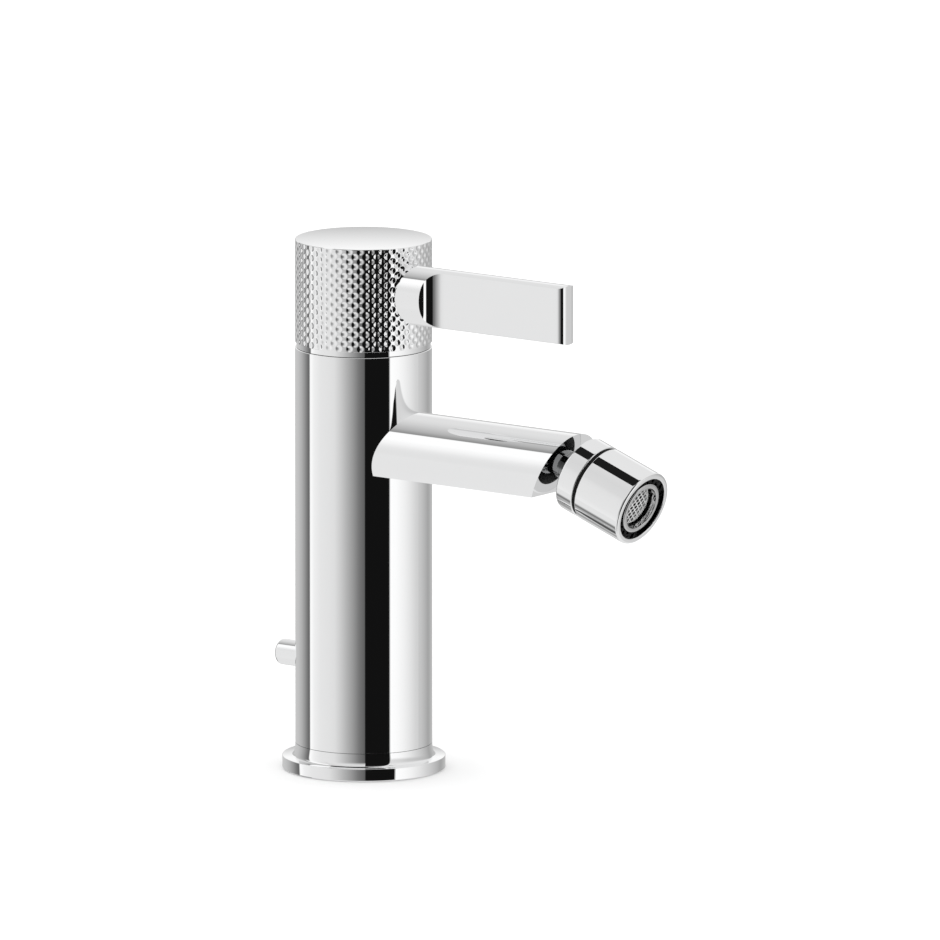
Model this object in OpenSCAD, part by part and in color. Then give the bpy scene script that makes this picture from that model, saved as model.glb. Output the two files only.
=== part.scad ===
// Bidet mixer: a round column with a knurled head, a flat lever and a spout whose
// nozzle swivels on a ball joint. Millimetres, +Z up, and the spout points along +X.
// The origin is the centre of the underside, where the foot stands on the deck.

/* [Column] */
// Outer diameter of the column
column_d = 45; // [44:0.5:48]
// Wall of the column
column_wall = 2.5; // [2:0.1:3]
// Height of the column's top above the deck
column_top = 140; // [136:1:160]

/* [Foot] */
// Diameter of the foot ring
foot_d = 53.6; // [53:0.2:60]
// Height of the foot ring's outer edge
foot_h = 4; // [3:0.5:6]
// Height of the hollow curve between the foot ring and the column
cove_h = 4; // [3:0.5:6]
// How far the hollow curve spreads at its foot
cove_spread = 1.4; // [0.8:0.1:1.6]
// Height of the solid plug that closes the column's foot
plug_h = 16; // [14:1:22]
// Width of the gasket under the foot
gasket_w = 2.6; // [2:0.1:3]
// Height of the gasket under the foot
gasket_h = 1.6; // [1:0.1:2]

/* [Fixing] */
// Hole for the fixing stud, at the thread's minor diameter
stud_hole_d = 6.8; // [5:0.1:8.5]
// Distance of the fixing stud from the column's axis
stud_x = 11; // [10:0.5:13]
// Hole for each inlet hose, at the thread's minor diameter
inlet_d = 9; // [8:0.1:9.6]
// Depth of each inlet hose's thread
inlet_depth = 8; // [6:0.5:9]
// Distance of each inlet from the plane through the spout
inlet_y = 8.5; // [8:0.5:9]
// Distance of the inlets behind the column's axis
inlet_back = 3; // [2:0.5:4]

/* [Risers] */
// Outer diameter of the riser tubes
riser_d = 8; // [7:0.1:8.4]
// Wall of the riser tubes
riser_wall = 1; // [0.6:0.1:1.4]
// How deep a riser sits in its socket
riser_seat = 4; // [3:0.5:5]

/* [Cartridge] */
// Diameter of the cartridge
cartridge_d = 35; // [33:0.5:37]
// Height of the cartridge's housing
cartridge_h = 10; // [9.5:0.5:12]
// Thickness of the cartridge's base
cartridge_base_h = 3; // [2.5:0.5:4]
// Thickness of each ceramic disc
disc_t = 3; // [2.5:0.1:3]
// Diameter of the spindle
spindle_d = 10; // [9:0.5:12]
// Number of splines on the spindle
spline_count = 20; // [16:2:24]
// Height of the cartridge nut
nut_h = 5; // [4:0.5:6]
// Width of the cartridge nut across its corners
nut_hex_d = 28; // [26:1:32]

/* [Head] */
// Height of the knurled head, with its cap
head_h = 34.3; // [32:0.1:40]
// Height of the smooth ring between the column and the head
trim_h = 1.8; // [1.2:0.1:3]
// Gap under the turning head
head_gap = 0.2; // [0.2:0.05:0.6]
// Thickness of the knurled sleeve, to the tops of its knurl
sleeve_t = 2.2; // [1.6:0.1:3]
// Thickness of the cap's rim
cap_t = 0.4; // [0.4:0.1:1.5]
// Number of dimples in one row round the sleeve
dimple_count = 37; // [30:1:44]
// Number of dimple rows up the sleeve
dimple_rows = 21; // [14:1:24]
// Depth of a dimple
dimple_depth = 0.5; // [0.2:0.05:0.8]
// Distance of the outer rows of dimples from the sleeve's ends
dimple_edge = 1; // [0.8:0.1:1.6]
// Turn of the dimple pattern from the lever
dimple_turn = 3.2; // [0:0.1:9.6]
// Bevel at the sleeve's lower edge
sleeve_bevel = 0.5; // [0.3:0.1:0.7]

/* [Lever] */
// Diameter of the round bar that the lever is cut from
lever_d = 19.5; // [16:0.5:21]
// Distance of the lever's tip from the column's axis
lever_reach = 84; // [70:1:110]
// Thickness of the lever's blade
blade_t = 7.5; // [5:0.5:9]
// Length of the round root that stands out of the head
root_len = 7.5; // [5:0.5:12]
// Rounding of the blade's upright end edges
blade_round = 2.4; // [1:0.1:2.4]
// Depth of the lever's axis below the head's top
lever_drop = 16.9; // [14:0.1:18]
// Diameter of the stud that holds the lever
lever_stud_d = 8; // [6:0.5:9]

/* [Spout] */
// Diameter of the round that the top of the spout follows
spout_d = 32.4; // [30:0.2:36]
// Height of the spout from its flat underside to its crown
spout_h = 19.4; // [18.6:0.1:20.4]
// Distance of the spout's crown below the column's top
spout_drop = 19.6; // [19.6:0.1:26]
// Distance of the centre of the ball joint's stem from the column's axis, on the end face
spout_reach = 83.8; // [75:0.1:110]
// Height of the stem's centre on the end face above the flat underside
stem_rise = 8.5; // [7.6:0.1:8.6]
// Tilt of the end face down from upright, and of the nozzle that stands square to it
face_tilt = 20; // [16:1:24]
// Bore of the spout
spout_bore = 12; // [10:0.5:12.5]
// Diameter of the spigot that passes the column's wall
spigot_d = 18; // [16:0.5:18.4]

/* [Ball joint] */
// Diameter of the swivel ball
ball_d = 16; // [15.6:0.1:16.4]
// Running clearance round the ball
ball_gap = 0.06; // [0.04:0.01:0.1]
// Diameter of the neck that carries the ball
neck_d = 9.8; // [8.8:0.1:10]
// Running clearance round the neck where it turns in the spout
stem_gap = 0.05; // [0.03:0.01:0.1]
// Length of the wall that the neck turns in
stem_seat = 6.3; // [5.8:0.1:6.6]
// Diameter of the stem's inner end, which holds the lock ring
stem_end_d = 8; // [7.4:0.1:8.2]
// Diameter of the waterway through the stem and the ball
ball_bore = 5.6; // [4:0.2:5.6]
// Gap between the spout's end face and the nozzle
face_gap = 5.3; // [5.2:0.1:6.4]
// Depth of the ball's centre inside the nozzle
ball_inset = 6; // [5.8:0.1:6.2]
// Diameter of the opening in the nozzle's back
mouth_d = 18.4; // [17.8:0.1:18.8]

/* [Nozzle] */
// Diameter of the nozzle
nozzle_d = 25.5; // [24.6:0.1:27]
// Length of the collar
collar_len = 7; // [6.6:0.1:7.4]
// Width of the groove between the collar and the shell
groove_w = 1.2; // [0.6:0.1:1.4]
// Depth of the groove between the collar and the shell
groove_depth = 0.5; // [0.3:0.1:0.8]
// Length of the nozzle's shell
shell_len = 18.6; // [18.4:0.1:23]
// Wall of the nozzle's shell at its mouth
shell_wall = 1.9; // [1.6:0.1:2.1]
// Depth of the aerator behind the nozzle's rim
aerator_depth = 0.4; // [0.2:0.1:1]
// Diameter of the aerator's mesh
mesh_d = 14.4; // [13:0.2:15.2]
// Wall of the cup round the mesh
cup_rim = 1.6; // [1:0.1:1.8]
// How far the cup stands forward of the slotted ring
cup_forward = 2.4; // [1:0.1:3]
// Number of slots in the ring round the cup
slot_count = 22; // [12:1:28]
// Spacing of the holes in the mesh
mesh_pitch = 1.6; // [1.5:0.05:2]
// Size of each hole in the mesh
mesh_hole = 1.15; // [0.8:0.05:1.2]

/* [Waste control] */
// Height of the waste knob above the deck, pushed down
knob_z = 34.6; // [30:0.1:45]
// Diameter of the waste knob
knob_d = 8.5; // [8:0.1:11]
// Distance of the knob's end from the column's axis
knob_reach = 34; // [30:0.5:42]
// Diameter of the knob's neck
knob_neck_d = 5; // [4:0.1:5.4]
// Diameter of the waste rod
rod_d = 5; // [4:0.1:5.2]
// Distance of the waste rod behind the column's axis
rod_x = 15.4; // [15:0.1:15.6]
// How far the knob pulls up
waste_travel = 25; // [15:1:30]
// Thread in the waste rod's lower end, at its minor diameter
rod_thread_d = 2.5; // [2:0.1:3]

/* [Hidden] */

$fn = 72;
eps = 0.01;

chrome = "lightgray";
brass = "darkkhaki";
rubber = "dimgray";
plastic = "gainsboro";
ceramic = "white";
steel = "silver";

column_r = column_d / 2;
column_in = column_r - column_wall;
foot_top = foot_h + cove_h;

spout_top = column_top - spout_drop;
spout_bottom = spout_top - spout_h;
spout_z = (spout_top + spout_bottom) / 2;

// The stack inside the column, from its top down
nut_sink = 1;
hex_h = 3;
nut_top = column_top - nut_sink - hex_h;
housing_top = nut_top - nut_h;
housing_bottom = housing_top - cartridge_h;
block_top = housing_bottom - cartridge_base_h;
block_under = 11.2;
block_bottom = spout_z - block_under;
disc_gap = 0.05;
disc_face = housing_bottom + disc_t + disc_gap;
cup_wall = 2;
cup_top = 2;
outlet_x = 8;
port_r = 2.5;
outlet_bore_r = 5;
seal_r = 4;
seal_h = 1.6;
fixed_disc_r = cartridge_d / 2 - cup_wall;
moving_disc_r = fixed_disc_r - 1;
chamber_r = 9;
chamber_h = 2.2;
chamber_back = 2;
spindle_flange_r = 12;
housing_neck_r = spindle_d / 2 + 4;
housing_neck_h = nut_h + hex_h;
run_gap = 0.1;
trim_inset = 0.2;
trim_round = 0.6;
trim_wall = 3;
trim_seat = 2.4;

// The head, from the column's top up
head_base = column_top + trim_h + head_gap;
head_top = head_base + head_h;
cap_spigot_h = 2.9;
core_top = head_top - cap_t - cap_spigot_h;
core_r = column_r - sleeve_t;
core_lift = 0.3;
skin_gap = 0.005;
lever_z = head_top - lever_drop;
lever_r = lever_d / 2;
lever_seat = 3.3;
spindle_over = 6;
spindle_top = lever_z + spindle_over;
spline_bottom = head_base + core_lift;
spline_h = 10;
spline_top = spline_bottom + spline_h;
spline_r = spindle_d / 2 - 0.2;
spindle_tip_r = spindle_d / 2 - 1;
stud_in_lever = 7;

// The spout and its ball joint
face_z = spout_bottom + stem_rise;
ball_out = face_gap + ball_inset;
ball_x = spout_reach + ball_out * cos(face_tilt);
ball_z = face_z - ball_out * sin(face_tilt);
ball_r = ball_d / 2;
neck_r = neck_d / 2;
stem_end_r = stem_end_d / 2;
lock_wall = 1.8;
lock_h = 4;
lock_play = 0.1;
stem_over = 0.5;
pocket_gap = 0.4;
stem_step = stem_seat + lock_play;
stem_len = stem_step + lock_h + stem_over;
seal_place = 2;
stem_seal_w = 1.4;
stem_seal_depth = 1;
stem_seal_play = 0.02;
bore_stop = 9.8;

// The nozzle, along its own axis from the ball's centre
nozzle_r = nozzle_d / 2;
collar_start = -ball_inset;
collar_end = collar_start + collar_len;
shell_start = collar_end + groove_w;
shell_end = shell_start + shell_len;
thread_r = 10.4;
thread_start = collar_end - 2;
mouth_r = mouth_d / 2;
mouth_wall = 0.8;
back_seat_r = 9.9;
back_seat_sunk = 0.3;
flare_wall = 0.3;
lip_at = 3.5;
lip_land = 0.15;
ball_room_r = 9;
front_seat_start = 3;
front_seat_end = ball_r - 1.4;
seat_bore_r = 4.6;
shoulder_r = 6.4;
seal_room_r = 9.6;
shell_bore_r = nozzle_r - shell_wall;
aerator_front = shell_end - aerator_depth;
aerator_h = 9;
cup_h = 5.5;
aerator_back = aerator_front - aerator_h;
mesh_back = 3.6;
mesh_t = 0.6;
shell_seal_h = 1.4;
flow_disc_h = 2;
flow_pitch = 2.3;
flow_hole = 0.9;
mesh_r = mesh_d / 2;
cup_r = mesh_r + cup_rim;
edge_round = 0.8;
groove_round = 0.4;
mouth_round = 0.25;

// The waste control
rod_r = rod_d / 2;
rod_bottom = 3;
rod_head_r = 4;
rod_head_h = 12;
rod_thread_depth = 8;
knob_round = 1;
knob_back_round = 0.3;
knob_gap = 0.3;
slot_gap = 0.3;
guide_h = 6;
guide_wall = 1;

// What a rounding of radius r takes off the corner at the given point
module corner(at, r, turn = 0) {
    translate(at)
        rotate(turn)
            translate([-r, -r])
                difference() {
                    square(r + eps);
                    circle(r);
                }
}

module tube(r, bore, h) {
    difference() {
        cylinder(r = r, h = h);
        translate([0, 0, -1]) cylinder(r = bore, h = h + 2);
    }
}

// Puts a shape's own +Z along +X
module along_x() {
    rotate([0, 90, 0]) children();
}

// Puts a shape's own +Z out of the spout's end face, with z = 0 on that face
module at_face() {
    translate([spout_reach, 0, face_z]) rotate([0, 90 + face_tilt, 0]) children();
}

// Puts a shape's own +Z along the nozzle, with z = 0 at the ball's centre
module at_nozzle() {
    translate([ball_x, 0, ball_z]) rotate([0, 90 + face_tilt, 0]) children();
}

module at_inlets() {
    for (side = [-1, 1]) translate([-inlet_back, side * inlet_y, 0]) children();
}

// Foot

module foot_profile() {
    cove_r = (cove_spread * cove_spread + cove_h * cove_h) / (2 * cove_spread);
    difference() {
        translate([column_in, 0]) square([foot_d / 2 - column_in, foot_h]);
        corner([foot_d / 2, foot_h], 0.5);
        corner([foot_d / 2, 0], 0.3, -90);
        translate([column_r, -eps]) square([gasket_w, gasket_h + eps]);
    }
    difference() {
        translate([column_in, foot_h - eps]) square([column_wall + cove_spread, cove_h + eps]);
        translate([column_r + cove_r, foot_top]) circle(cove_r);
    }
}

module foot_ring() {
    color(chrome) rotate_extrude() foot_profile();
}

module foot_gasket() {
    color(rubber)
        rotate_extrude()
            translate([column_r, 0])
                square([gasket_w, gasket_h]);
}

module base_plug() {
    color(brass)
        difference() {
            cylinder(r = column_in, h = plug_h);
            translate([stud_x, 0, -1]) cylinder(d = stud_hole_d, h = plug_h + 2);
            at_inlets() {
                translate([0, 0, -1]) cylinder(d = inlet_d, h = inlet_depth + 1);
                cylinder(r = riser_d / 2 - riser_wall, h = plug_h + 1);
                translate([0, 0, plug_h - riser_seat]) cylinder(d = riser_d, h = riser_seat + 1);
            }
            translate([-rod_x, 0, -1]) cylinder(r = rod_r + guide_wall, h = plug_h + 2);
        }
}

// Column and what it holds

module waste_slot() {
    w = knob_neck_d + 2 * slot_gap;
    translate([-rod_x, 0, knob_z])
        rotate([0, -90, 0])
            linear_extrude(column_r) {
                circle(d = w);
                translate([waste_travel, 0]) circle(d = w);
                translate([0, -w / 2]) square([waste_travel, w]);
            }
}

module column() {
    color(chrome)
        difference() {
            translate([0, 0, foot_top]) tube(column_r, column_in, column_top - foot_top);
            translate([0, 0, spout_z]) along_x() cylinder(d = spigot_d, h = column_r + 1);
            waste_slot();
        }
}

module riser_tubes() {
    bottom = plug_h - riser_seat;
    color(brass)
        at_inlets()
            translate([0, 0, bottom])
                tube(riser_d / 2, riser_d / 2 - riser_wall, block_bottom + riser_seat - bottom);
}

module valve_block() {
    color(brass)
        difference() {
            translate([0, 0, block_bottom]) cylinder(r = column_in, h = block_top - block_bottom);
            at_inlets() {
                translate([0, 0, block_bottom - 1]) cylinder(d = riser_d, h = riser_seat + 1);
                translate([0, 0, block_bottom]) cylinder(r = port_r, h = block_top - block_bottom + 1);
            }
            translate([outlet_x, 0, spout_z]) cylinder(r = port_r, h = block_top - spout_z + 1);
            translate([outlet_x - port_r, 0, spout_z]) along_x() cylinder(r = outlet_bore_r, h = column_r);
        }
}

module at_ports() {
    at_inlets() children();
    translate([outlet_x, 0, 0]) children();
}

module cartridge_base() {
    color(plastic)
        difference() {
            translate([0, 0, block_top]) cylinder(d = cartridge_d, h = cartridge_base_h);
            at_ports() {
                translate([0, 0, block_top - 1]) cylinder(r = port_r, h = cartridge_base_h + 2);
                translate([0, 0, block_top - eps]) cylinder(r = seal_r, h = seal_h + eps);
            }
        }
}

module port_seals() {
    color(rubber)
        at_ports()
            translate([0, 0, block_top])
                tube(seal_r, port_r, seal_h);
}

module cartridge_housing() {
    color(plastic)
        difference() {
            union() {
                translate([0, 0, housing_bottom]) cylinder(d = cartridge_d, h = cartridge_h);
                translate([0, 0, housing_top - eps]) cylinder(r = housing_neck_r, h = housing_neck_h + eps);
            }
            translate([0, 0, housing_bottom - 1])
                cylinder(r = fixed_disc_r, h = cartridge_h - cup_top + 1);
            translate([0, 0, housing_bottom])
                cylinder(r = spindle_d / 2 + run_gap, h = cartridge_h + housing_neck_h + 1);
        }
}

module fixed_disc() {
    color(ceramic)
        difference() {
            translate([0, 0, housing_bottom]) cylinder(r = fixed_disc_r, h = disc_t);
            at_ports() translate([0, 0, housing_bottom - 1]) cylinder(r = port_r, h = disc_t + 2);
        }
}

// The chamber under the moving disc joins the inlets to the outlet as it turns
module moving_disc() {
    color(ceramic)
        difference() {
            translate([0, 0, disc_face]) cylinder(r = moving_disc_r, h = disc_t - 2 * disc_gap);
            translate([outlet_x / 4, 0, disc_face - 1])
                intersection() {
                    cylinder(r = chamber_r, h = chamber_h);
                    translate([-chamber_back, -chamber_r, 0])
                        cube([chamber_back + chamber_r, 2 * chamber_r, chamber_h]);
                }
        }
}

function spline(r, n, depth = 0.5) = [
    for (i = [0:2 * n - 1])
        (r - (i % 2) * depth) * [cos(180 * i / n), sin(180 * i / n)]
];

module spindle() {
    flange_z = disc_face + disc_t - 2 * disc_gap;
    flange_top = housing_top - cup_top - 0.2;
    color(brass) {
        rotate_extrude() {
            translate([0, flange_z]) square([spindle_flange_r, flange_top - flange_z]);
            translate([0, flange_z]) square([spindle_d / 2, spline_bottom - flange_z]);
            translate([0, flange_z]) square([spindle_tip_r, spindle_top - flange_z]);
        }
        translate([0, 0, flange_top])
            linear_extrude(spline_top - flange_top)
                polygon(spline(spline_r, spline_count));
    }
}

module cartridge_nut() {
    color(brass)
        difference() {
            union() {
                translate([0, 0, housing_top]) cylinder(r = column_in, h = nut_h);
                translate([0, 0, nut_top - eps]) cylinder(d = nut_hex_d, h = hex_h + eps, $fn = 6);
            }
            translate([0, 0, housing_top - 1]) cylinder(r = housing_neck_r, h = nut_h + hex_h + 2);
        }
}

module trim_ring() {
    ring_r = column_r - trim_inset;
    ring_in = column_in - trim_wall;
    color(chrome)
        rotate_extrude() {
            difference() {
                translate([ring_in, column_top]) square([ring_r - ring_in, trim_h]);
                corner([ring_r, column_top + trim_h], trim_round);
            }
            translate([ring_in, column_top - trim_seat]) square([trim_wall, trim_seat + eps]);
        }
}

// Head and lever

module head_core() {
    color(brass)
        difference() {
            translate([0, 0, head_base + core_lift])
                cylinder(r = core_r, h = core_top - head_base - core_lift);
            translate([0, 0, spline_bottom - 1])
                linear_extrude(spline_top - spline_bottom + 1)
                    polygon(spline(spline_r, spline_count));
            translate([0, 0, spline_bottom]) cylinder(r = spindle_tip_r, h = spindle_top - spline_bottom);
            translate([0, 0, lever_z]) along_x() cylinder(d = lever_stud_d, h = core_r + 1);
            translate([core_r - lever_seat, 0, lever_z]) along_x() cylinder(d = lever_d, h = lever_seat + 1);
        }
}

// The knurl is a lattice of points: every other one is the floor of a dimple, and the
// points between them stay at the sleeve's full radius and are joined by ridges.
module knurled_skin(bottom, top) {
    n = 2 * dimple_count;
    pitch = (top - bottom - 2 * dimple_edge) / (dimple_rows - 1);
    inner_r = core_r / cos(180 / n) + skin_gap;
    function ring(r, z) = [for (k = [0:n - 1]) [r * cos(k * 360 / n), r * sin(k * 360 / n), z]];
    function knurl_r(k, j) = (k + j) % 2 == 0 ? column_r - dimple_depth : column_r;
    lattice = [
        for (j = [0:dimple_rows - 1], k = [0:n - 1])
            let (r = knurl_r(k, j))
            [r * cos(k * 360 / n), r * sin(k * 360 / n), bottom + dimple_edge + j * pitch]
    ];
    points = concat(
        ring(column_r - sleeve_bevel, bottom),
        ring(column_r, bottom + sleeve_bevel),
        lattice,
        ring(column_r, top),
        ring(inner_r, top),
        ring(inner_r, bottom)
    );
    levels = dimple_rows + 5;
    // A ridge never crosses a dimple's floor, so a quad is cut from ridge to ridge
    faces = [
        for (j = [0:levels - 1], k = [0:n - 1])
            let (
                k2 = (k + 1) % n,
                j2 = (j + 1) % levels,
                a = j * n + k,
                b = j * n + k2,
                c = j2 * n + k2,
                d = j2 * n + k
            )
            each ((k + j) % 2 == 0 ? [[a, d, b], [c, b, d]] : [[a, c, b], [a, d, c]])
    ];
    rotate(dimple_turn) polyhedron(points, faces);
}

module head_sleeve() {
    color(chrome)
        resize([0, 0, 0])
            difference() {
                knurled_skin(head_base, head_top - cap_t);
                translate([0, 0, lever_z]) along_x() cylinder(d = lever_d, h = column_r + 1);
            }
}

module head_cap() {
    color(chrome)
        rotate_extrude() {
            difference() {
                translate([0, head_top - cap_t]) square([column_r - 0.1, cap_t]);
                corner([column_r - 0.1, head_top], 0.3);
            }
            translate([0, core_top]) square([core_r, cap_spigot_h + eps]);
        }
}

module lever_stud() {
    color(steel)
        translate([spindle_tip_r, 0, lever_z])
            along_x()
                cylinder(d = lever_stud_d, h = core_r - lever_seat + stud_in_lever - spindle_tip_r);
}

// The lever seen from above: a round root, two hollow shoulders and a flat blade
module lever_outline() {
    scoop = lever_r - blade_t / 2;
    start = column_r + root_len;
    difference() {
        translate([core_r - lever_seat, -lever_r]) square([start + scoop - core_r + lever_seat, lever_d]);
        for (side = [-1, 1]) translate([start + scoop, side * lever_r]) circle(scoop);
    }
    difference() {
        translate([start + scoop - eps, -blade_t / 2]) square([lever_reach - start - scoop + eps, blade_t]);
        corner([lever_reach, blade_t / 2], blade_round);
        corner([lever_reach, -blade_t / 2], blade_round, -90);
    }
}

module lever() {
    color(chrome)
        difference() {
            intersection() {
                translate([0, 0, lever_z]) along_x() cylinder(r = lever_r, h = lever_reach + 1);
                translate([0, 0, lever_z - lever_r - 1]) linear_extrude(lever_d + 2) lever_outline();
            }
            translate([0, 0, lever_z])
                along_x()
                    cylinder(d = lever_stud_d, h = core_r - lever_seat + stud_in_lever);
        }
}

// Spout and ball joint

// The spout's section, with a round top and a flat underside
module spout_section() {
    difference() {
        translate([0, spout_top - spout_d / 2]) circle(d = spout_d);
        translate([-spout_d, spout_bottom - 2 * spout_d]) square(2 * spout_d);
    }
}

module spout() {
    color(chrome)
        difference() {
            union() {
                difference() {
                    rotate([90, 0, 90]) linear_extrude(spout_reach + spout_d) spout_section();
                    cylinder(r = column_r, h = column_top);
                }
                difference() {
                    translate([0, 0, spout_z]) along_x() cylinder(d = spigot_d, h = column_r + 1);
                    cylinder(r = column_in, h = column_top);
                }
            }
            translate([0, 0, spout_z]) along_x() cylinder(d = spout_bore, h = spout_reach - bore_stop);
            at_face() {
                cylinder(r = 2 * spout_d, h = 2 * spout_d);
                translate([0, 0, -stem_len]) cylinder(r = neck_r + stem_gap, h = stem_len + 1);
                translate([0, 0, -stem_len - pocket_gap])
                    cylinder(r = stem_end_r + lock_wall + pocket_gap, h = stem_len + pocket_gap - stem_seat);
            }
        }
}

module swivel_ball() {
    color(chrome)
        difference() {
            union() {
                at_nozzle() sphere(ball_r);
                at_face()
                    rotate_extrude()
                        difference() {
                            union() {
                                translate([0, -stem_step]) square([neck_r, stem_step + ball_out]);
                                translate([0, -stem_len]) square([stem_end_r, stem_len]);
                            }
                            translate([neck_r - stem_seal_depth, -seal_place - stem_seal_w])
                                square([stem_seal_depth + 1, stem_seal_w]);
                        }
            }
            at_face()
                translate([0, 0, -stem_len - 1])
                    cylinder(d = ball_bore, h = stem_len + ball_out + ball_r + 2);
        }
}

module stem_seal() {
    color(rubber)
        at_face()
            translate([0, 0, -seal_place - stem_seal_w])
                tube(neck_r + stem_gap - stem_seal_play, neck_r - stem_seal_depth, stem_seal_w);
}

module lock_ring() {
    color(brass)
        at_face()
            translate([0, 0, -stem_step - lock_h])
                tube(stem_end_r + lock_wall, stem_end_r, lock_h);
}

// Nozzle

// The seat behind the ball, with a flare that leaves the neck room to tilt
module back_seat() {
    reach = ball_r + ball_gap;
    lip_r = sqrt(pow(reach, 2) - pow(lip_at, 2)) + lip_land;
    back = collar_start + back_seat_sunk;
    seat_back = collar_start + mouth_wall;
    color(plastic)
        at_nozzle()
            rotate_extrude()
                difference() {
                    union() {
                        translate([0, seat_back]) square([back_seat_r, thread_start - seat_back]);
                        translate([0, back]) square([mouth_r, thread_start - back]);
                    }
                    intersection() {
                        circle(reach);
                        translate([0, -reach]) square(2 * reach);
                    }
                    polygon([
                        [0, -lip_at],
                        [lip_r, -lip_at],
                        [mouth_r - flare_wall, back],
                        [mouth_r - flare_wall, back - 1],
                        [0, back - 1]
                    ]);
                }
}

module collar() {
    color(chrome)
        at_nozzle()
            rotate_extrude()
                difference() {
                    translate([0, collar_start]) square([nozzle_r, collar_len]);
                    translate([0, collar_start - 1]) square([mouth_r, collar_len + 2]);
                    translate([0, collar_start + mouth_wall]) square([back_seat_r, collar_len]);
                    translate([0, thread_start]) square([thread_r, collar_len]);
                    corner([nozzle_r, collar_start], edge_round, -90);
                    corner([nozzle_r, collar_end], groove_round);
                }
}

module nozzle_gasket() {
    color(rubber)
        at_nozzle()
            translate([0, 0, collar_end])
                tube(nozzle_r - groove_depth, thread_r, groove_w);
}

module nozzle_shell() {
    color(chrome)
        at_nozzle()
            rotate_extrude()
                difference() {
                    union() {
                        translate([0, shell_start]) square([nozzle_r, shell_len]);
                        translate([0, thread_start]) square([thread_r, shell_start - thread_start + eps]);
                    }
                    translate([0, thread_start - 1]) square([ball_room_r, front_seat_end - thread_start + 1]);
                    translate([0, thread_start - 1]) square([shoulder_r, shell_end - thread_start + 2]);
                    translate([0, aerator_back - shell_seal_h]) square([seal_room_r, shell_len]);
                    translate([0, aerator_back]) square([shell_bore_r, shell_len]);
                    corner([nozzle_r, shell_start], groove_round, -90);
                    corner([nozzle_r, shell_end], edge_round);
                    translate([shell_bore_r, shell_end])
                        rotate(90)
                            corner([0, 0], mouth_round);
                }
}

// The seat ahead of the ball
module ball_seat() {
    color(plastic)
        at_nozzle()
            difference() {
                translate([0, 0, front_seat_start])
                    cylinder(r = ball_room_r, h = front_seat_end - front_seat_start);
                sphere(ball_r + ball_gap);
                cylinder(r = seat_bore_r, h = front_seat_end + 1);
            }
}

module aerator_body() {
    gap_mid = (cup_r + shell_bore_r) / 2;
    gap_w = shell_bore_r - cup_r;
    color(plastic)
        at_nozzle()
            difference() {
                translate([0, 0, aerator_back])
                    tube(shell_bore_r, mesh_r - 1, aerator_h - cup_forward);
                translate([0, 0, aerator_front - cup_h]) cylinder(r = cup_r, h = cup_h);
                for (i = [0:slot_count - 1])
                    rotate(i * 360 / slot_count)
                        translate([gap_mid - gap_w / 3, -0.7, aerator_front - cup_forward - 2])
                            cube([gap_w / 1.5, 1.4, 3]);
            }
}

module aerator_cup() {
    color(chrome)
        at_nozzle()
            rotate_extrude()
                difference() {
                    translate([mesh_r - 0.5, aerator_front - cup_h]) square([cup_rim + 0.5, cup_h]);
                    translate([0, aerator_front - mesh_back]) square([mesh_r, mesh_back + 1]);
                    corner([cup_r, aerator_front], 0.6);
                    translate([mesh_r, aerator_front]) rotate(90) corner([0, 0], 0.3);
                }
}

// A flat screen of square holes, turned to stand on a corner
module aerator_mesh() {
    rows = floor(mesh_r / mesh_pitch);
    color(steel)
        at_nozzle()
            translate([0, 0, aerator_front - mesh_back])
                linear_extrude(mesh_t)
                    difference() {
                        circle(mesh_r);
                        for (j = [-rows:rows], i = [-rows:rows])
                            if (mesh_pitch * norm([i, j]) < mesh_r - 0.75 * mesh_hole)
                                rotate(45)
                                    translate([i * mesh_pitch, j * mesh_pitch])
                                        square(mesh_hole, center = true);
                    }
}

module flow_disc() {
    color(plastic)
        at_nozzle()
            translate([0, 0, aerator_back])
                linear_extrude(flow_disc_h)
                    difference() {
                        circle(mesh_r - 1);
                        for (ring = [1, 2], i = [0:6 * ring - 1])
                            rotate(i * 60 / ring)
                                translate([ring * flow_pitch, 0])
                                    circle(d = flow_hole, $fn = 8);
                    }
}

module shell_seal() {
    color(rubber)
        at_nozzle()
            translate([0, 0, aerator_back - shell_seal_h])
                tube(seal_room_r, mesh_r, shell_seal_h);
}

// Waste control

module rod_guide() {
    color(plastic)
        translate([-rod_x, 0, plug_h - guide_h])
            tube(rod_r + guide_wall, rod_r + 0.08, guide_h);
}

module waste_rod() {
    color(steel)
        difference() {
            translate([-rod_x, 0, rod_bottom]) cylinder(r = rod_r, h = knob_z - rod_bottom);
            translate([-rod_x, 0, rod_bottom - 1]) cylinder(d = rod_thread_d, h = rod_thread_depth + 1);
            translate([0, 0, knob_z]) rotate([0, -90, 0]) cylinder(d = knob_neck_d, h = column_in);
        }
}

module rod_head() {
    color(brass)
        difference() {
            translate([-rod_x, 0, knob_z - rod_head_h / 2]) cylinder(r = rod_head_r, h = rod_head_h);
            translate([-rod_x, 0, knob_z - rod_head_h / 2 - 1]) cylinder(r = rod_r, h = rod_head_h / 2 + 1);
            translate([0, 0, knob_z]) rotate([0, -90, 0]) cylinder(d = knob_neck_d, h = column_in);
        }
}

module waste_knob() {
    knob_start = column_r + knob_gap;
    neck_start = rod_x - rod_head_r;
    color(chrome)
        translate([0, 0, knob_z])
            rotate([0, -90, 0])
                rotate_extrude() {
                    difference() {
                        translate([0, knob_start]) square([knob_d / 2, knob_reach - knob_start]);
                        corner([knob_d / 2, knob_reach], knob_round);
                        corner([knob_d / 2, knob_start], knob_back_round, -90);
                    }
                    translate([0, neck_start]) square([knob_neck_d / 2, knob_start - neck_start + eps]);
                }
}

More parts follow.
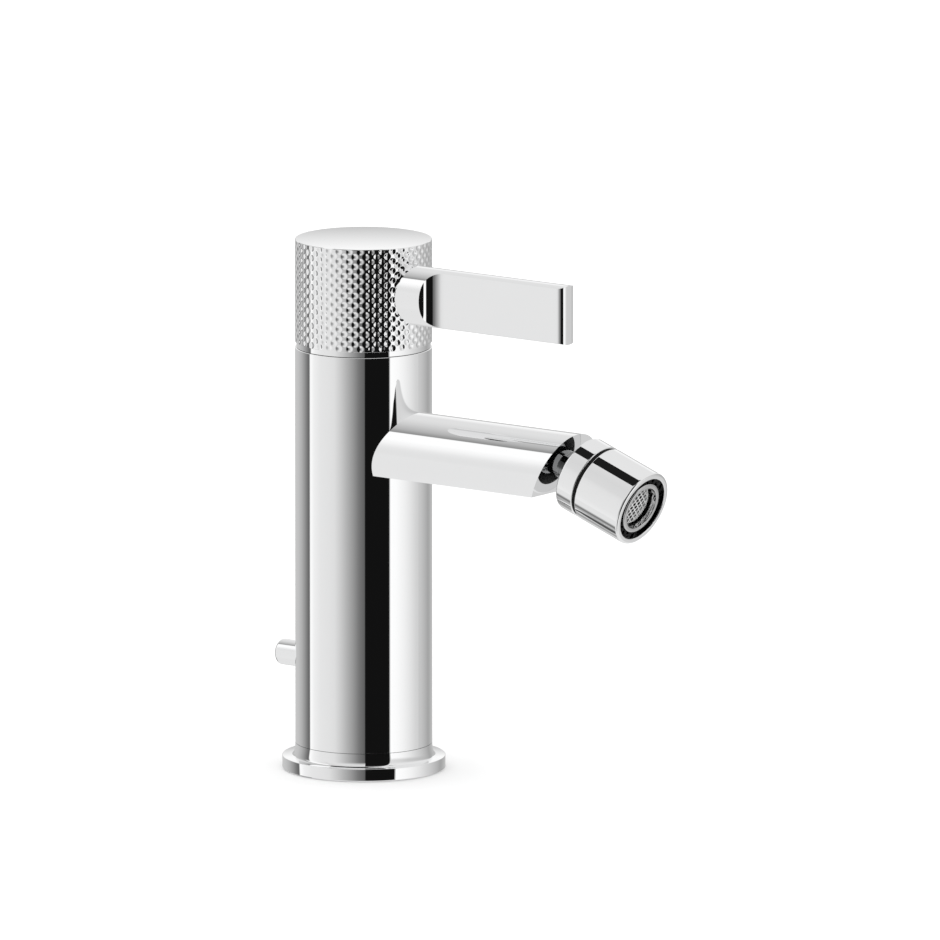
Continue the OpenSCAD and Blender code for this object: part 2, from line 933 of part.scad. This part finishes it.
foot_ring();
foot_gasket();
base_plug();
column();
riser_tubes();
valve_block();
cartridge_base();
port_seals();
cartridge_housing();
fixed_disc();
moving_disc();
spindle();
cartridge_nut();
trim_ring();
head_core();
head_sleeve();
head_cap();
lever_stud();
lever();
spout();
swivel_ball();
stem_seal();
lock_ring();
back_seat();
collar();
nozzle_gasket();
nozzle_shell();
ball_seat();
shell_seal();
flow_disc();
aerator_body();
aerator_cup();
aerator_mesh();
rod_guide();
waste_rod();
rod_head();
waste_knob();
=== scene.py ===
import math

import bmesh
import bpy
import numpy as np
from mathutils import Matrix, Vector


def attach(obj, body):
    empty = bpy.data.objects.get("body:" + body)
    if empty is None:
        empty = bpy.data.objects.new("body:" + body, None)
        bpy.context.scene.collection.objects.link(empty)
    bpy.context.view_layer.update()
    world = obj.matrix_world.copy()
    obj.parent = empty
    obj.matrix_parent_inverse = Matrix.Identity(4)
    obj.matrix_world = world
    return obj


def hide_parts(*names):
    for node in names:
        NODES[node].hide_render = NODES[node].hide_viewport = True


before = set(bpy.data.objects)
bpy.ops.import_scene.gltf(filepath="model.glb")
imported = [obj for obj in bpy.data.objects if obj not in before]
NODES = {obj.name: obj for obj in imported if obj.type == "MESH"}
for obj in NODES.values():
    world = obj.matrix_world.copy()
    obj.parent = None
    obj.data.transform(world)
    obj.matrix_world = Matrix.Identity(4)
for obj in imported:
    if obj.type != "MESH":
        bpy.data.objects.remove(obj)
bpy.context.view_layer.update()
MM = 0.001

# The studio and the camera are set up round this direction, 37 degrees round from the spout's side
FRONT = math.radians(37)

# Sizes that scene pieces share with the solids, in millimetres
COLUMN_R = 22.5
COLUMN_TOP = 140.0
HEAD_BASE = 142.0
HEAD_TOP = 176.3
CAP_T = 0.4
LEVER_Z = 159.4
LEVER_R = 9.75
BALL = Vector((94.4185, 0, 105.6352))
NOZZLE_TILT = math.radians(20)
NOZZLE_AXIS = Vector((math.cos(NOZZLE_TILT), 0, -math.sin(NOZZLE_TILT)))
SCREEN_FRONT = 17.3


# Camera

def camera():
    rise = math.asin(0.1805)
    look_right, look_up, picture_width, far = 0.03486, 0.0973, 0.3088, 8.5
    toward = Vector((math.sin(FRONT) * math.cos(rise), -math.cos(FRONT) * math.cos(rise), math.sin(rise)))
    right = Vector((math.cos(FRONT), math.sin(FRONT), 0))
    up = toward.cross(right)
    look = right * look_right + up * look_up
    data = bpy.data.cameras.new("camera")
    data.sensor_width = 36
    data.lens = data.sensor_width * far / picture_width
    data.clip_end = 50
    o = bpy.data.objects.new("camera", data)
    o.location = look + toward * far
    o.rotation_euler = toward.to_track_quat("Z", "Y").to_euler()
    bpy.context.scene.collection.objects.link(o)
    bpy.context.scene.camera = o


# Node helpers

class Tree:
    def __init__(self, tree):
        self.nodes = tree.nodes
        self.links = tree.links
        self.nodes.clear()

    def add(self, kind, **inputs):
        n = self.nodes.new("ShaderNode" + kind)
        for key, value in inputs.items():
            if hasattr(n, key):
                setattr(n, key, value)
            else:
                self.put(n.inputs[key.replace("_", " ")], value)
        return n

    def put(self, socket, value):
        if hasattr(value, "is_output"):
            self.links.new(value, socket)
        else:
            socket.default_value = value

    def math(self, operation, a, b=0.0, c=0.0):
        n = self.nodes.new("ShaderNodeMath")
        n.operation = operation
        for socket, value in zip(n.inputs, (a, b, c)):
            self.put(socket, value)
        return n.outputs[0]

    def ramp(self, fac, stops):
        n = self.nodes.new("ShaderNodeValToRGB")
        n.color_ramp.interpolation = "LINEAR"
        e = n.color_ramp.elements
        while len(e) > 1:
            e.remove(e[0])
        for i, (at, value) in enumerate(stops):
            s = e[0] if i == 0 else e.new(at)
            s.position = at
            s.color = (*value, 1) if hasattr(value, "__len__") else (value, value, value, 1)
        self.put(n.inputs[0], fac)
        return n.outputs[0]

    def mix(self, fac, a, b):
        n = self.nodes.new("ShaderNodeMix")
        n.data_type = "RGBA"
        self.put(n.inputs[0], fac)
        self.put(n.inputs[6], a)
        self.put(n.inputs[7], b)
        return n.outputs[2]


def grey(v):
    return (v, v, v, 1)


# Studio. Bright and dark panels stand round the object and a dark flag hangs over it, all fixed in the world.

# Places and brightnesses round the horizon, in degrees from the front, positive to the right
RING = [(-180, .62), (-143, .55), (-129, .45), (-118, .31), (-108, .16), (-104, .14), (-102, 1.05), (-92, .90),
        (-78, .82), (-60, .79), (-50, .76), (-39, .62), (-28, .46), (-18, .33), (-8, .19), (1.8, .12),
        (2.6, .006), (44.6, .006), (45.4, 1.05), (60, 1.0), (72, .92), (85, .81), (99, .68), (116, .55),
        (139, .38), (160, .5), (180, .62)]
# How much the light above the right panel is dimmed
RIGHT_DIM = [(45, 0.0), (46, .3), (80, .3), (130, 0.0)]
# Brightnesses overhead and low down, along the Y part of the direction
OVERHEAD_BACK = [(-.8, .68), (-.72, .77), (-.64, .84), (-.55, .96), (-.44, 1.05), (-.21, 1.05), (-.19, .27),
                 (-.04, .47), (.1, .57), (.24, .66), (.37, .73), (.49, .77), (.75, .79)]
OVERHEAD_FRONT = [(-.87, .78), (-.79, .72), (-.6, .7), (-.31, .73), (-.29, .78), (.115, .82), (.87, .81)]
LOW_BACK = [(-.34, .8), (-.24, .19), (-.2, .19), (-.12, .44), (-.04, .44), (.03, .085), (.15, .085), (.2, .36),
            (.36, .36), (.56, .78)]
# How far each layer covers the one under it, in degrees up from the horizon, or down for the last
OVERHEAD_STARTS = [(14, 0.0), (28, 1.0)]
OVERHEAD_STARTS_DARK = [(54, 0.0), (60, 1.0)]
RIGHT_DIM_STARTS = [(0, 0.0), (7, 1.0)]
LOW_STARTS = [(24, 0.0), (40, 1.0)]
# Brightness of the glow behind the object, in degrees up from the horizon
GLOW_BEHIND = [(4, .5), (7.5, .6), (12.5, 1.0)]

# Middle and half width of the dark panel, and where the glow behind begins, in parts of a turn
DARK_MIDDLE, DARK_HALF, BEHIND_FROM = 23.8 / 360, 21.2 / 360, 150 / 360
# Edges of the flag and of the two areas behind the object, as parts of the direction
FLAG_Z, FLAG_Y, FLAG_HALF = 0.88, -0.09, 0.206
BACK_X, LOW_BACK_X, LOW_BACK_Z = -0.42, -0.62, -0.47
# Brightness of the flag, of what lies below and of the light on dull surfaces
DARK, BELOW, SOFT_LIGHT = 0.012, 0.8, 1.4


def by_bearing(stops):
    return [((a + 180) / 360, v) for a, v in stops]


def by_side(stops):
    return [((a + 1) / 2, v) for a, v in stops]


def by_height(stops):
    return [(a / 90, v) for a, v in stops]


def surround_colour(t):
    d = t.add("SeparateXYZ", Vector=t.add("TexCoord").outputs["Generated"])
    x, y, z = d.outputs[0], d.outputs[1], d.outputs[2]
    front = t.math("ADD", t.math("MULTIPLY", x, math.sin(FRONT)), t.math("MULTIPLY", y, -math.cos(FRONT)))
    side = t.math("ADD", t.math("MULTIPLY", x, math.cos(FRONT)), t.math("MULTIPLY", y, math.sin(FRONT)))
    round_ = t.math("DIVIDE", t.math("ARCTAN2", side, front), 2 * math.pi)
    bearing = t.math("ADD", round_, 0.5)
    rise = t.math("DIVIDE", t.math("ARCSINE", z), math.pi / 2)
    across = t.math("MULTIPLY_ADD", y, 0.5, 0.5)
    dark_side = t.math("COMPARE", round_, DARK_MIDDLE, DARK_HALF)

    ring = t.ramp(bearing, by_bearing(RING))
    behind = t.math("GREATER_THAN", t.math("ABSOLUTE", round_), BEHIND_FROM)
    behind = t.math("MULTIPLY", behind, t.math("GREATER_THAN", rise, 0.0))
    ring = t.mix(behind, ring, t.ramp(rise, by_height(GLOW_BEHIND)))
    dim = t.math("MULTIPLY", t.ramp(bearing, by_bearing(RIGHT_DIM)), t.ramp(rise, by_height(RIGHT_DIM_STARTS)))
    ring = t.mix(dim, ring, grey(0.0))

    above = t.mix(t.math("LESS_THAN", x, BACK_X), t.ramp(across, by_side(OVERHEAD_FRONT)),
                  t.ramp(across, by_side(OVERHEAD_BACK)))
    flag = t.math("MULTIPLY", t.math("GREATER_THAN", z, FLAG_Z), t.math("COMPARE", y, FLAG_Y, FLAG_HALF))
    above = t.mix(flag, above, grey(DARK))
    high = t.mix(dark_side, t.ramp(rise, by_height(OVERHEAD_STARTS)),
                 t.ramp(rise, by_height(OVERHEAD_STARTS_DARK)))
    colour = t.mix(high, ring, above)

    low = t.ramp(t.math("MULTIPLY", rise, -1.0), by_height(LOW_STARTS))
    low = t.math("MULTIPLY", low, t.math("SUBTRACT", 1.0, dark_side))
    colour = t.mix(low, colour, grey(BELOW))
    lines = t.math("MULTIPLY", t.math("LESS_THAN", x, LOW_BACK_X), t.math("LESS_THAN", z, LOW_BACK_Z))
    return t.mix(lines, colour, t.ramp(across, by_side(LOW_BACK)))


def studio():
    world = bpy.data.worlds.new("studio")
    bpy.context.scene.world = world
    world.use_nodes = True
    t = Tree(world.node_tree)
    path = t.add("LightPath")
    seen = t.math("MAXIMUM", path.outputs["Is Camera Ray"], path.outputs["Is Transmission Ray"])
    colour = t.mix(path.outputs["Is Diffuse Ray"], surround_colour(t), grey(SOFT_LIGHT))
    colour = t.mix(seen, colour, grey(1.0))
    back = t.add("Background", Color=colour, Strength=1.0)
    out = t.add("OutputWorld")
    t.links.new(back.outputs[0], out.inputs[0])

    bpy.ops.mesh.primitive_circle_add(vertices=96, radius=3, fill_type="NGON", location=(0, 0, -0.0002))
    floor = bpy.context.object
    floor.name = "floor"
    m = bpy.data.materials.new("floor")
    m.use_nodes = True
    t = Tree(m.node_tree)
    noise = t.add("TexNoise", Scale=3.0)
    b = t.add("BsdfDiffuse", Color=t.ramp(noise.outputs[0], [(0, .95), (1, .97)]))
    t.links.new(b.outputs[0], t.add("OutputMaterial").inputs[0])
    floor.data.materials.append(m)
    floor.visible_glossy = False


# Materials

def principled(name):
    m = bpy.data.materials.new(name)
    m.use_nodes = True
    t = Tree(m.node_tree)
    b = t.add("BsdfPrincipled")
    t.links.new(b.outputs[0], t.add("OutputMaterial").inputs[0])
    return m, t, b


def where(t):
    return t.add("TexCoord").outputs["Object"]


# Polished chrome. An optional fine line of painted shade runs round the piece where a seam groove would lie in
# shadow: its height and half its width, in millimetres.
def chrome(name="chrome", rough=0.03, tone=0.955, seam_shade=None):
    m, t, b = principled(name)
    haze = t.add("TexNoise", Vector=where(t), Scale=90.0, Detail=3.0)
    base = t.ramp(haze.outputs[0], [(0.3, (tone - .006, tone - .004, tone)),
                                    (0.7, (tone, tone + .002, tone + .004))])
    if seam_shade:
        height = t.add("SeparateXYZ", Vector=where(t)).outputs[2]
        # Painted shade: near-black line at the given height, standing in for the shadow in a seam groove
        base = t.mix(t.math("COMPARE", height, seam_shade[0] * MM, seam_shade[1] * MM), base, grey(0.02))
    t.put(b.inputs["Base Color"], base)
    b.inputs["Metallic"].default_value = 1
    smudge = t.add("TexNoise", Vector=where(t), Scale=35.0, Detail=5.0)
    t.put(b.inputs["Roughness"], t.ramp(smudge.outputs[0], [(0.35, rough * .7), (0.75, rough * 1.3)]))
    return m


# Chrome of the aerator's cup, with a black band of painted shade in its bore in front of the screen, standing
# in for the shadow in the gap between screen and wall
def cup_chrome():
    shade_half = 0.65
    m, t, b = principled("cup_chrome")
    n = t.add("TexNoise", Vector=where(t), Scale=90.0, Detail=3.0)
    d = t.add("VectorMath", operation="DOT_PRODUCT")
    t.put(d.inputs[0], where(t))
    d.inputs[1].default_value = NOZZLE_AXIS
    along = t.math("SUBTRACT", d.outputs["Value"], BALL.dot(NOZZLE_AXIS) * MM)
    tone = t.ramp(n.outputs[0], [(0.3, .6), (0.7, .63)])
    # Painted shade: near-black band on the bore, from the screen's front to 1.3 mm ahead of it
    bore_shade = t.math("COMPARE", along, (SCREEN_FRONT + shade_half) * MM, shade_half * MM)
    t.put(b.inputs["Base Color"], t.mix(bore_shade, tone, grey(0.006)))
    b.inputs["Metallic"].default_value = 1
    t.put(b.inputs["Roughness"], t.ramp(n.outputs[0], [(0.35, .04), (0.75, .07)]))
    return m


def brass():
    m, t, b = principled("brass")
    n = t.add("TexNoise", Vector=where(t), Scale=160.0, Detail=4.0)
    t.put(b.inputs["Base Color"], t.ramp(n.outputs[0], [(0.3, (.62, .47, .22)), (0.7, (.74, .58, .3))]))
    b.inputs["Metallic"].default_value = 1
    t.put(b.inputs["Roughness"], t.ramp(n.outputs[0], [(0.2, .28), (0.8, .42)]))
    return m


def steel():
    m, t, b = principled("steel")
    n = t.add("TexNoise", Vector=where(t), Scale=220.0, Detail=4.0)
    t.put(b.inputs["Base Color"], t.ramp(n.outputs[0], [(0.3, .52), (0.7, .66)]))
    b.inputs["Metallic"].default_value = 1
    t.put(b.inputs["Roughness"], t.ramp(n.outputs[0], [(0.2, .2), (0.8, .34)]))
    return m


def rubber():
    m, t, b = principled("rubber")
    n = t.add("TexNoise", Vector=where(t), Scale=900.0, Detail=4.0)
    t.put(b.inputs["Base Color"], t.ramp(n.outputs[0], [(0.3, .003), (0.7, .008)]))
    t.put(b.inputs["Roughness"], t.ramp(n.outputs[0], [(0.2, .5), (0.8, .7)]))
    b.inputs["Specular IOR Level"].default_value = 0.15
    bump = t.add("Bump", Strength=0.2, Distance=0.00005, Height=n.outputs[0])
    t.put(b.inputs["Normal"], bump.outputs[0])
    return m


def plastic(name, low, high, rough=0.35, shine=0.5):
    m, t, b = principled(name)
    b.inputs["Specular IOR Level"].default_value = shine
    n = t.add("TexNoise", Vector=where(t), Scale=700.0, Detail=3.0)
    t.put(b.inputs["Base Color"], t.ramp(n.outputs[0], [(0.3, low), (0.7, high)]))
    t.put(b.inputs["Roughness"], t.ramp(n.outputs[0], [(0.2, rough * .85), (0.8, rough * 1.15)]))
    bump = t.add("Bump", Strength=0.1, Distance=0.00004, Height=n.outputs[0])
    t.put(b.inputs["Normal"], bump.outputs[0])
    return m


def give(material, *names):
    for n in names:
        mesh = NODES[n].data
        mesh.materials.clear()
        mesh.materials.append(material)


# Pieces made in mesh code. Each takes the place of its solid and rides on the same body.

def piece(name, co, faces, material, node, body, slot):
    mesh = bpy.data.meshes.new(name)
    mesh.from_pydata(co, [], faces)
    mesh.shade_smooth()
    o = bpy.data.objects.new(name, mesh)
    bpy.context.scene.collection.objects.link(o)
    b = bmesh.new()
    b.from_mesh(mesh)
    bmesh.ops.delete(b, geom=[v for v in b.verts if not v.link_faces], context="VERTS")
    for e in b.edges:
        if len(e.link_faces) == 2 and e.calc_face_angle(0) > math.radians(35):
            e.smooth = False
    b.to_mesh(mesh)
    b.free()
    mesh.materials.append(material)
    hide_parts(node)
    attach(o, body)
    return o


def arc(r, z, radius, a0, a1, steps):
    return [(r + radius * math.cos(a), z + radius * math.sin(a))
            for a in np.linspace(math.radians(a0), math.radians(a1), steps)]


def revolve(name, profile, *rest):
    around = 256
    th = np.arange(around) * 2 * math.pi / around
    co = [(r * math.cos(a) * MM, r * math.sin(a) * MM, z * MM) for r, z in profile for a in th]
    n = len(profile)
    faces = [(i * around + k, i * around + (k + 1) % around, (i + 1) % n * around + (k + 1) % around,
              (i + 1) % n * around + k) for i in range(n) for k in range(around)]
    return piece(name, co, faces, *rest)


# Flared foot: a low rim, a hollow curve up to the column and a fine seam where they meet, darkened by a line
# of painted shade in its chrome
def foot(material):
    out, top, seam, neck, spread = 26.8, 4.15, 8.5, COLUMN_R, 1.1
    inner, bevel, edge, groove, low, high = COLUMN_R - 2.5, .3, .2, .15, .06, .2
    cove = [(neck + spread * (1 - math.cos(a)), seam - (seam - top) * math.sin(a))
            for a in np.linspace(0, math.pi / 2, 28)]
    profile = [(inner, 0), (out - bevel, 0), (out, bevel)] + arc(out - edge, top - edge, edge, 0, 90, 6)
    profile += cove[::-1] + [(neck - groove, seam + low), (neck - groove, seam + high), (inner, seam + high)]
    return revolve("foot", profile, material, "foot_ring", "base", "chrome")


# Narrow ring under the sleeve, set in a little from the column, with a fine seam at its foot that its chrome
# draws as a line of painted shade
def seam_ring(material):
    low, top, out, inner, chamfer = COLUMN_TOP, HEAD_BASE - 0.01, COLUMN_R - 0.5, COLUMN_R - 5, .05
    profile = [(inner, low), (out - chamfer, low), (out, low + chamfer), (out, top), (inner, top)]
    return revolve("seam_ring", profile, material, "trim_ring", "base", "chrome")


# Smooth disc on top of the head, very slightly domed
def cap(material):
    out, top, seat = COLUMN_R - .1, HEAD_TOP, HEAD_TOP - CAP_T
    crown, plug_r, plug_h, hub, edge, drop, lip = 0.26, 20, 2.8, 0.01, .08, .02, .04
    dome = [(r, top - drop - crown * (r / out) ** 2) for r in np.linspace(out - edge, hub, 24)]
    profile = [(hub, seat - plug_h), (plug_r, seat - plug_h), (plug_r, seat), (out, seat), (out, seat + lip)]
    profile += dome
    return revolve("cap", profile, material, "head_cap", "handle", "chrome")


# Knurled sleeve: rounded pits in a staggered pattern, with the smooth cylinder left between them
def knurled_sleeve(material):
    count, first, row = 39, 143.1, 1.608
    radius, slope, blunt = 1.1, math.tan(math.radians(24)), 0.6
    turn = math.radians(-55.47)
    inner, chamfer, spare = 20.3, 0.05, 0.03
    bottom, top = HEAD_BASE, HEAD_TOP - CAP_T - .01
    half = math.pi / count
    around = count * 24
    steps = 11
    th = turn + np.arange(around) * 2 * math.pi / around
    rows = int((top - first) / row) + 1
    zs = first + row * (np.arange(-steps + 1, rows * steps) / steps)
    zs = zs[(zs > bottom + chamfer + spare) & (zs < top - chamfer - spare)]
    zs = np.concatenate([[bottom, bottom + chamfer], zs, [top - chamfer, top]])
    u = (th - turn) / half
    rim = math.hypot(radius, blunt)
    r = np.full((len(zs), around), COLUMN_R)
    for j in range(rows):
        k0 = np.round((u - j % 2) / 2) * 2 + j % 2
        du = (u - k0) * half * COLUMN_R
        dv = zs - (first + row * j)
        d = np.sqrt(du[None, :] ** 2 + dv[:, None] ** 2 + blunt ** 2)
        r = np.minimum(r, COLUMN_R - slope * np.clip(rim - d, 0, None))
    r[0] = r[-1] = COLUMN_R - chamfer
    r = np.vstack([np.full((1, around), inner), r, np.full((1, around), inner)])
    zs = np.concatenate([[bottom], zs, [top]])
    co = np.stack([r * np.cos(th), r * np.sin(th), np.repeat(zs[:, None], around, 1)], 2).reshape(-1, 3)
    n = len(zs)
    i, k = np.meshgrid(np.arange(n), np.arange(around), indexing="ij")
    i2, k2 = (i + 1) % n, (k + 1) % around
    faces = np.stack([i * around + k, i * around + k2, i2 * around + k2, i2 * around + k], 2).reshape(-1, 4)
    # No faces where the lever's root goes in
    off = np.hypot(co[:, 1], co[:, 2] - LEVER_Z)
    hidden = (off < LEVER_R - 0.25) & (co[:, 0] > 0)
    faces = faces[~hidden[faces].all(1)]
    return piece("sleeve", (co * MM).tolist(), faces.tolist(), material, "head_sleeve", "handle", "chrome")


# Thin screen of square holes in the aerator, drawn along the nozzle's axis
def screen(material):
    count, pitch, web, out, thick, at = 4, 1.6, .38, 6.7, .15, SCREEN_FRONT
    rim_w, rim_up, over = .4, .05, .02
    u, v = Vector((0, 1, 0)), NOZZLE_AXIS.cross(Vector((0, 1, 0)))
    half = math.sqrt(.5)
    bars = []
    for k in range(-count, count):
        c = (k + .5) * pitch
        reach = math.sqrt(max(out ** 2 - (abs(c) + web / 2) ** 2, 0))
        bars += [[(c - web / 2, -reach), (c + web / 2, -reach), (c + web / 2, reach), (c - web / 2, reach)]]
        bars += [[(-reach, c - web / 2), (reach, c - web / 2), (reach, c + web / 2), (-reach, c + web / 2)]]
    around = 96
    co, faces = [], []

    def put(x, y, h):
        a, b = (x - y) * half, (x + y) * half
        co.append((BALL + u * a + v * b + NOZZLE_AXIS * h) * MM)

    for n, bar in enumerate(bars):
        lift = at + (over if n % 2 else 0)
        first = len(co)
        for h in (lift - thick, lift):
            for x, y in bar:
                put(x, y, h)
        faces += [tuple(first + i for i in q) for q in
                  ((0, 3, 2, 1), (4, 5, 6, 7), (0, 1, 5, 4), (1, 2, 6, 5), (2, 3, 7, 6), (3, 0, 4, 7))]
    first = len(co)
    profile = [(out - rim_w, at - thick), (out, at - thick), (out, at + rim_up), (out - rim_w, at + rim_up)]
    for r, h in profile:
        for k in range(around):
            a = 2 * math.pi * k / around
            put(r * math.cos(a), r * math.sin(a), h)
    faces += [(first + i * around + k, first + i * around + (k + 1) % around,
               first + (i + 1) % 4 * around + (k + 1) % around, first + (i + 1) % 4 * around + k)
              for i in range(4) for k in range(around)]
    return piece("screen", [tuple(c) for c in co], faces, material, "aerator_mesh", "nozzle", "steel")


bpy.context.scene.view_settings.view_transform = "Standard"
camera()
studio()
CHROME = chrome()
give(CHROME, "column", "lever", "spout", "collar", "nozzle_shell", "waste_knob")
give(chrome("dark_chrome", .04, .27), "swivel_ball")
give(cup_chrome(), "aerator_cup")
give(plastic("dark_plastic", .003, .006, 0.4, 0.12), "aerator_body")
give(brass(), "base_plug", "riser_tubes", "valve_block", "cartridge_nut", "spindle", "head_core", "lock_ring",
     "rod_head")
give(steel(), "lever_stud", "waste_rod")
give(rubber(), "foot_gasket", "port_seals", "stem_seal", "nozzle_gasket", "shell_seal")
give(plastic("black_plastic", .003, .006, 0.5), "back_seat")
give(plastic("plastic", .55, .62), "cartridge_base", "cartridge_housing", "ball_seat", "flow_disc",
     "rod_guide")
give(plastic("ceramic", .8, .86, 0.12), "fixed_disc", "moving_disc")

# The spout's top shows no image of the head and column, so these and what they hide stay out of mirror images.
# The trim ring's chrome carries a line of painted shade at its foot for the seam's shadow.
NO_MIRROR = [knurled_sleeve(CHROME), cap(CHROME), seam_ring(chrome("trim_chrome", seam_shade=(140.12, .13)))]
NO_MIRROR += [NODES[n] for n in ("column", "head_core", "spindle", "moving_disc", "lever_stud", "fixed_disc",
                                 "cartridge_nut", "cartridge_housing", "cartridge_base", "port_seals",
                                 "valve_block", "riser_tubes", "base_plug", "rod_guide", "rod_head",
                                 "waste_rod")]
for o in NO_MIRROR:
    o.visible_glossy = False

# Painted shade: a dark line along the top of the foot's curve for the seam's shadow
foot(chrome("foot_chrome", seam_shade=(8.43, .07)))
screen(plastic("screen_plastic", .62, .68, .4))
